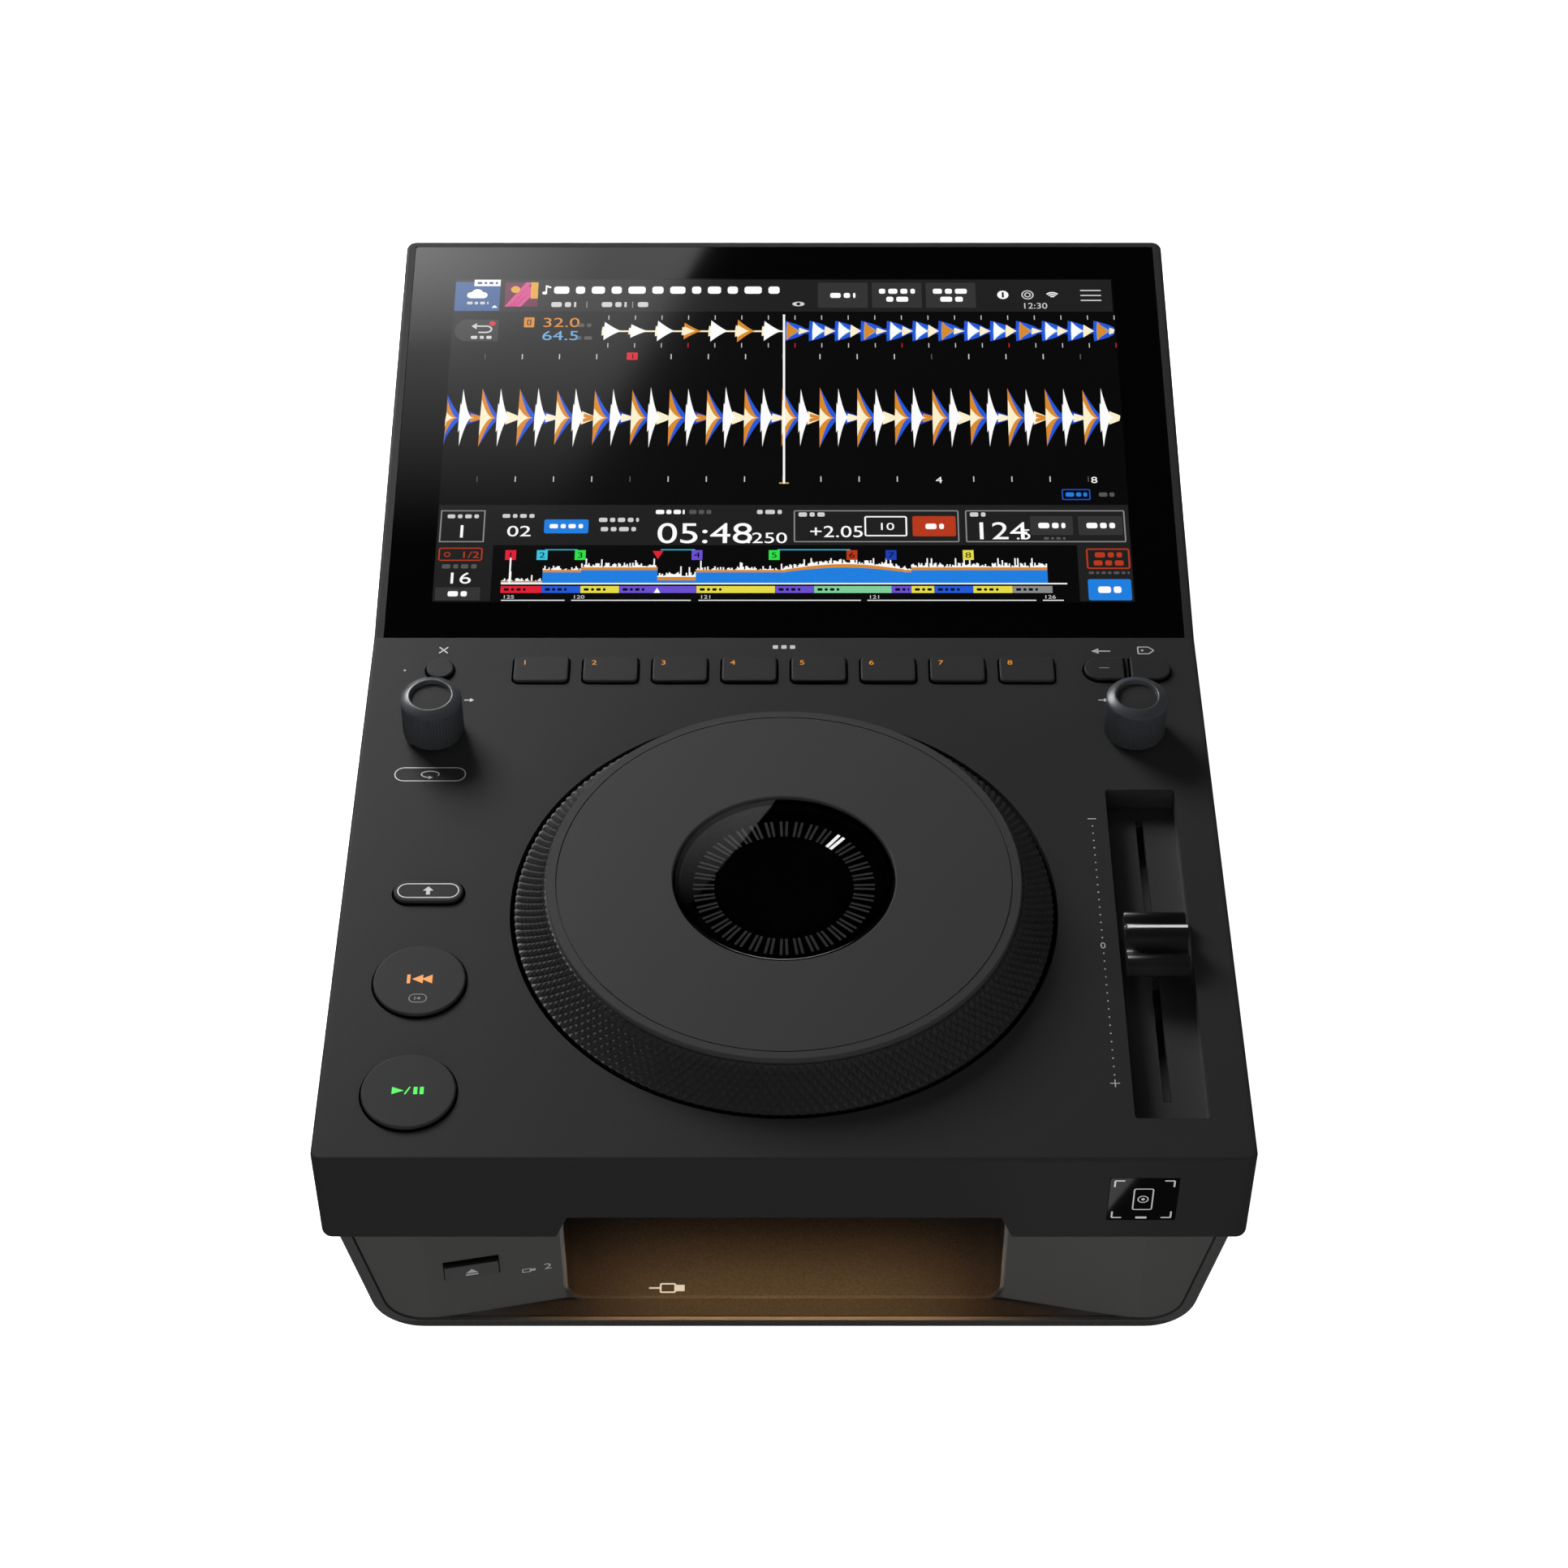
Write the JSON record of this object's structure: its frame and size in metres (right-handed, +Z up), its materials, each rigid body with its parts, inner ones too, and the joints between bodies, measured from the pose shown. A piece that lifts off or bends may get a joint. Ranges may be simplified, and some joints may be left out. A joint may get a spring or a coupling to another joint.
{
  "type": "tabletop dj media player",
  "caption": "Tabletop DJ media player: level deck with jog wheel, pads, keys and tempo fader, sloping touch screen behind, lit USB bay under the front.",
  "frame": {"origin": "middle of the footprint, on the surface that the feet stand on", "axes": "+Z up, +Y to the back, +X to the player's right; the front face looks along -Y"},
  "size_m": [0.25, 0.3632, 0.1121],
  "materials": {
    "case_black": "fine textured matte paint",
    "case_lower": "fine textured matte",
    "bay_plastic": "textured matte",
    "light_guide": "translucent, lit warm amber",
    "steel_plate": "black powder coat",
    "rubber": "matte",
    "screw_steel": "zinc plated",
    "screen_glass": "polished black glass",
    "lcd_module": "pressed steel back",
    "bracket_steel": "zinc plated",
    "reader_gloss": "polished black",
    "board_green": "solder mask",
    "inner_black": "moulded",
    "bearing_white": "acetal",
    "jog_rubber": "knurled matte",
    "jog_plate": "fine matte",
    "lens_gloss": "polished",
    "disc_film": "slotted film",
    "knob_grip": "soft-touch",
    "shaft_metal": "turned",
    "key_black": "matte",
    "round_key": "matte",
    "switch_black": "moulded",
    "pot_steel": "zinc plated",
    "fader_cap": "satin",
    "recess_black": "matte",
    "socket_steel": "nickel plated",
    "supply_parts": "moulded parts on a board",
    "jack_black": "moulded"
  },
  "bodies": {
    "chassis": {"top_panel": "case_black", "lower_case": "case_lower", "usb_bay": "bay_plastic", "bay_light_bar": "light_guide", "rear_panel": "steel_plate", "feet": "rubber", "case_screws": "screw_steel", "screen_glass": "screen_glass", "display_module": "lcd_module", "display_bracket": "bracket_steel", "reader_window": "reader_gloss", "reader_board": "board_green", "jog_base": "inner_black", "jog_bearing": "bearing_white", "jog_sensor": "switch_black", "jog_display": "lcd_module", "jog_lens": "lens_gloss", "main_board": "board_green", "pad_board": "board_green", "deck_board": "board_green", "tact_switches": "switch_black", "power_supply": "supply_parts", "power_switch": "switch_black", "usb_board": "board_green", "usb_sockets": "socket_steel", "fader_tray": "recess_black", "fader_body": "pot_steel", "encoder_left": "pot_steel", "encoder_right": "pot_steel", "mains_inlet": "jack_black", "network_socket": "socket_steel", "audio_jacks": "jack_black"},
    "jog_wheel": {"jog_hub": "inner_black", "jog_ring": "jog_rubber", "jog_top_plate": "jog_plate", "encoder_disc": "disc_film"},
    "rotor_left_body": {"rotor_left": "bearing_white"},
    "rotor_right_body": {"rotor_right": "bearing_white"},
    "knob_left_body": {"knob_left": "knob_grip", "shaft_left": "shaft_metal"},
    "knob_right_body": {"knob_right": "knob_grip", "shaft_right": "shaft_metal"},
    "tempo_fader": {"fader_cap": "fader_cap", "fader_lever": "shaft_metal"},
    "pad_1_body": {"pad_1": "key_black"},
    "pad_2_body": {"pad_2": "key_black"},
    "pad_3_body": {"pad_3": "key_black"},
    "pad_4_body": {"pad_4": "key_black"},
    "pad_5_body": {"pad_5": "key_black"},
    "pad_6_body": {"pad_6": "key_black"},
    "pad_7_body": {"pad_7": "key_black"},
    "pad_8_body": {"pad_8": "key_black"},
    "delete_button_body": {"delete_button": "key_black"},
    "back_button_body": {"back_button": "key_black"},
    "tag_button_body": {"tag_button": "key_black"},
    "shift_button_body": {"shift_button": "key_black"},
    "cue_button_body": {"cue_button": "round_key"},
    "play_button_body": {"play_button": "round_key"},
    "eject_button_body": {"eject_button": "key_black"},
    "power_button_body": {"power_button": "key_black"}
  },
  "joints": [
    {"name": "jog_spin", "type": "hinge", "parent": "chassis", "child": "jog_wheel", "pos_m": [0, -0.09069, 0.0828], "axis": [0, 0, 1], "continuous": true},
    {"name": "knob_left_turn", "type": "hinge", "parent": "chassis", "child": "rotor_left_body", "pos_m": [-0.1036, -0.02122, 0.0828], "axis": [0, 0, 1], "continuous": true},
    {"name": "knob_left_push", "type": "slide", "parent": "rotor_left_body", "child": "knob_left_body", "axis": [0, 0, -1], "range_m": [0, 0.0006], "stiffness_N_per_m": 2000, "springref_m": -0.0003},
    {"name": "knob_right_turn", "type": "hinge", "parent": "chassis", "child": "rotor_right_body", "pos_m": [0.1036, -0.02122, 0.0828], "axis": [0, 0, 1], "continuous": true},
    {"name": "knob_right_push", "type": "slide", "parent": "rotor_right_body", "child": "knob_right_body", "axis": [0, 0, -1], "range_m": [0, 0.0006], "stiffness_N_per_m": 2000, "springref_m": -0.0003},
    {"name": "tempo_slide", "type": "slide", "parent": "chassis", "child": "tempo_fader", "axis": [0, 1, 0], "range_m": [-0.05, 0.05]},
    {"name": "pad_1_press", "type": "slide", "parent": "chassis", "child": "pad_1_body", "axis": [0, 0, -1], "range_m": [0, 0.0005], "stiffness_N_per_m": 1500, "springref_m": -0.0003},
    {"name": "pad_2_press", "type": "slide", "parent": "chassis", "child": "pad_2_body", "axis": [0, 0, -1], "range_m": [0, 0.0005], "stiffness_N_per_m": 1500, "springref_m": -0.0003},
    {"name": "pad_3_press", "type": "slide", "parent": "chassis", "child": "pad_3_body", "axis": [0, 0, -1], "range_m": [0, 0.0005], "stiffness_N_per_m": 1500, "springref_m": -0.0003},
    {"name": "pad_4_press", "type": "slide", "parent": "chassis", "child": "pad_4_body", "axis": [0, 0, -1], "range_m": [0, 0.0005], "stiffness_N_per_m": 1500, "springref_m": -0.0003},
    {"name": "pad_5_press", "type": "slide", "parent": "chassis", "child": "pad_5_body", "axis": [0, 0, -1], "range_m": [0, 0.0005], "stiffness_N_per_m": 1500, "springref_m": -0.0003},
    {"name": "pad_6_press", "type": "slide", "parent": "chassis", "child": "pad_6_body", "axis": [0, 0, -1], "range_m": [0, 0.0005], "stiffness_N_per_m": 1500, "springref_m": -0.0003},
    {"name": "pad_7_press", "type": "slide", "parent": "chassis", "child": "pad_7_body", "axis": [0, 0, -1], "range_m": [0, 0.0005], "stiffness_N_per_m": 1500, "springref_m": -0.0003},
    {"name": "pad_8_press", "type": "slide", "parent": "chassis", "child": "pad_8_body", "axis": [0, 0, -1], "range_m": [0, 0.0005], "stiffness_N_per_m": 1500, "springref_m": -0.0003},
    {"name": "delete_button_press", "type": "slide", "parent": "chassis", "child": "delete_button_body", "axis": [0, 0, -1], "range_m": [0, 0.0005], "stiffness_N_per_m": 1500, "springref_m": -0.0003},
    {"name": "back_button_press", "type": "slide", "parent": "chassis", "child": "back_button_body", "axis": [0, 0, -1], "range_m": [0, 0.0005], "stiffness_N_per_m": 1500, "springref_m": -0.0003},
    {"name": "tag_button_press", "type": "slide", "parent": "chassis", "child": "tag_button_body", "axis": [0, 0, -1], "range_m": [0, 0.0005], "stiffness_N_per_m": 1500, "springref_m": -0.0003},
    {"name": "shift_button_press", "type": "slide", "parent": "chassis", "child": "shift_button_body", "axis": [0, 0, -1], "range_m": [0, 0.0005], "stiffness_N_per_m": 1500, "springref_m": -0.0003},
    {"name": "cue_button_press", "type": "slide", "parent": "chassis", "child": "cue_button_body", "axis": [0, 0, -1], "range_m": [0, 0.0005], "stiffness_N_per_m": 1500, "springref_m": -0.0003},
    {"name": "play_button_press", "type": "slide", "parent": "chassis", "child": "play_button_body", "axis": [0, 0, -1], "range_m": [0, 0.0005], "stiffness_N_per_m": 1500, "springref_m": -0.0003},
    {"name": "eject_button_press", "type": "slide", "parent": "chassis", "child": "eject_button_body", "axis": [-0.1826, 0.9832, 0], "range_m": [0, 0.0005], "stiffness_N_per_m": 1500, "springref_m": -0.0003},
    {"name": "power_button_press", "type": "slide", "parent": "chassis", "child": "power_button_body", "axis": [0, -1, 0], "range_m": [0, 0.002], "stiffness_N_per_m": 800, "springref_m": -0.0003}
  ]
}
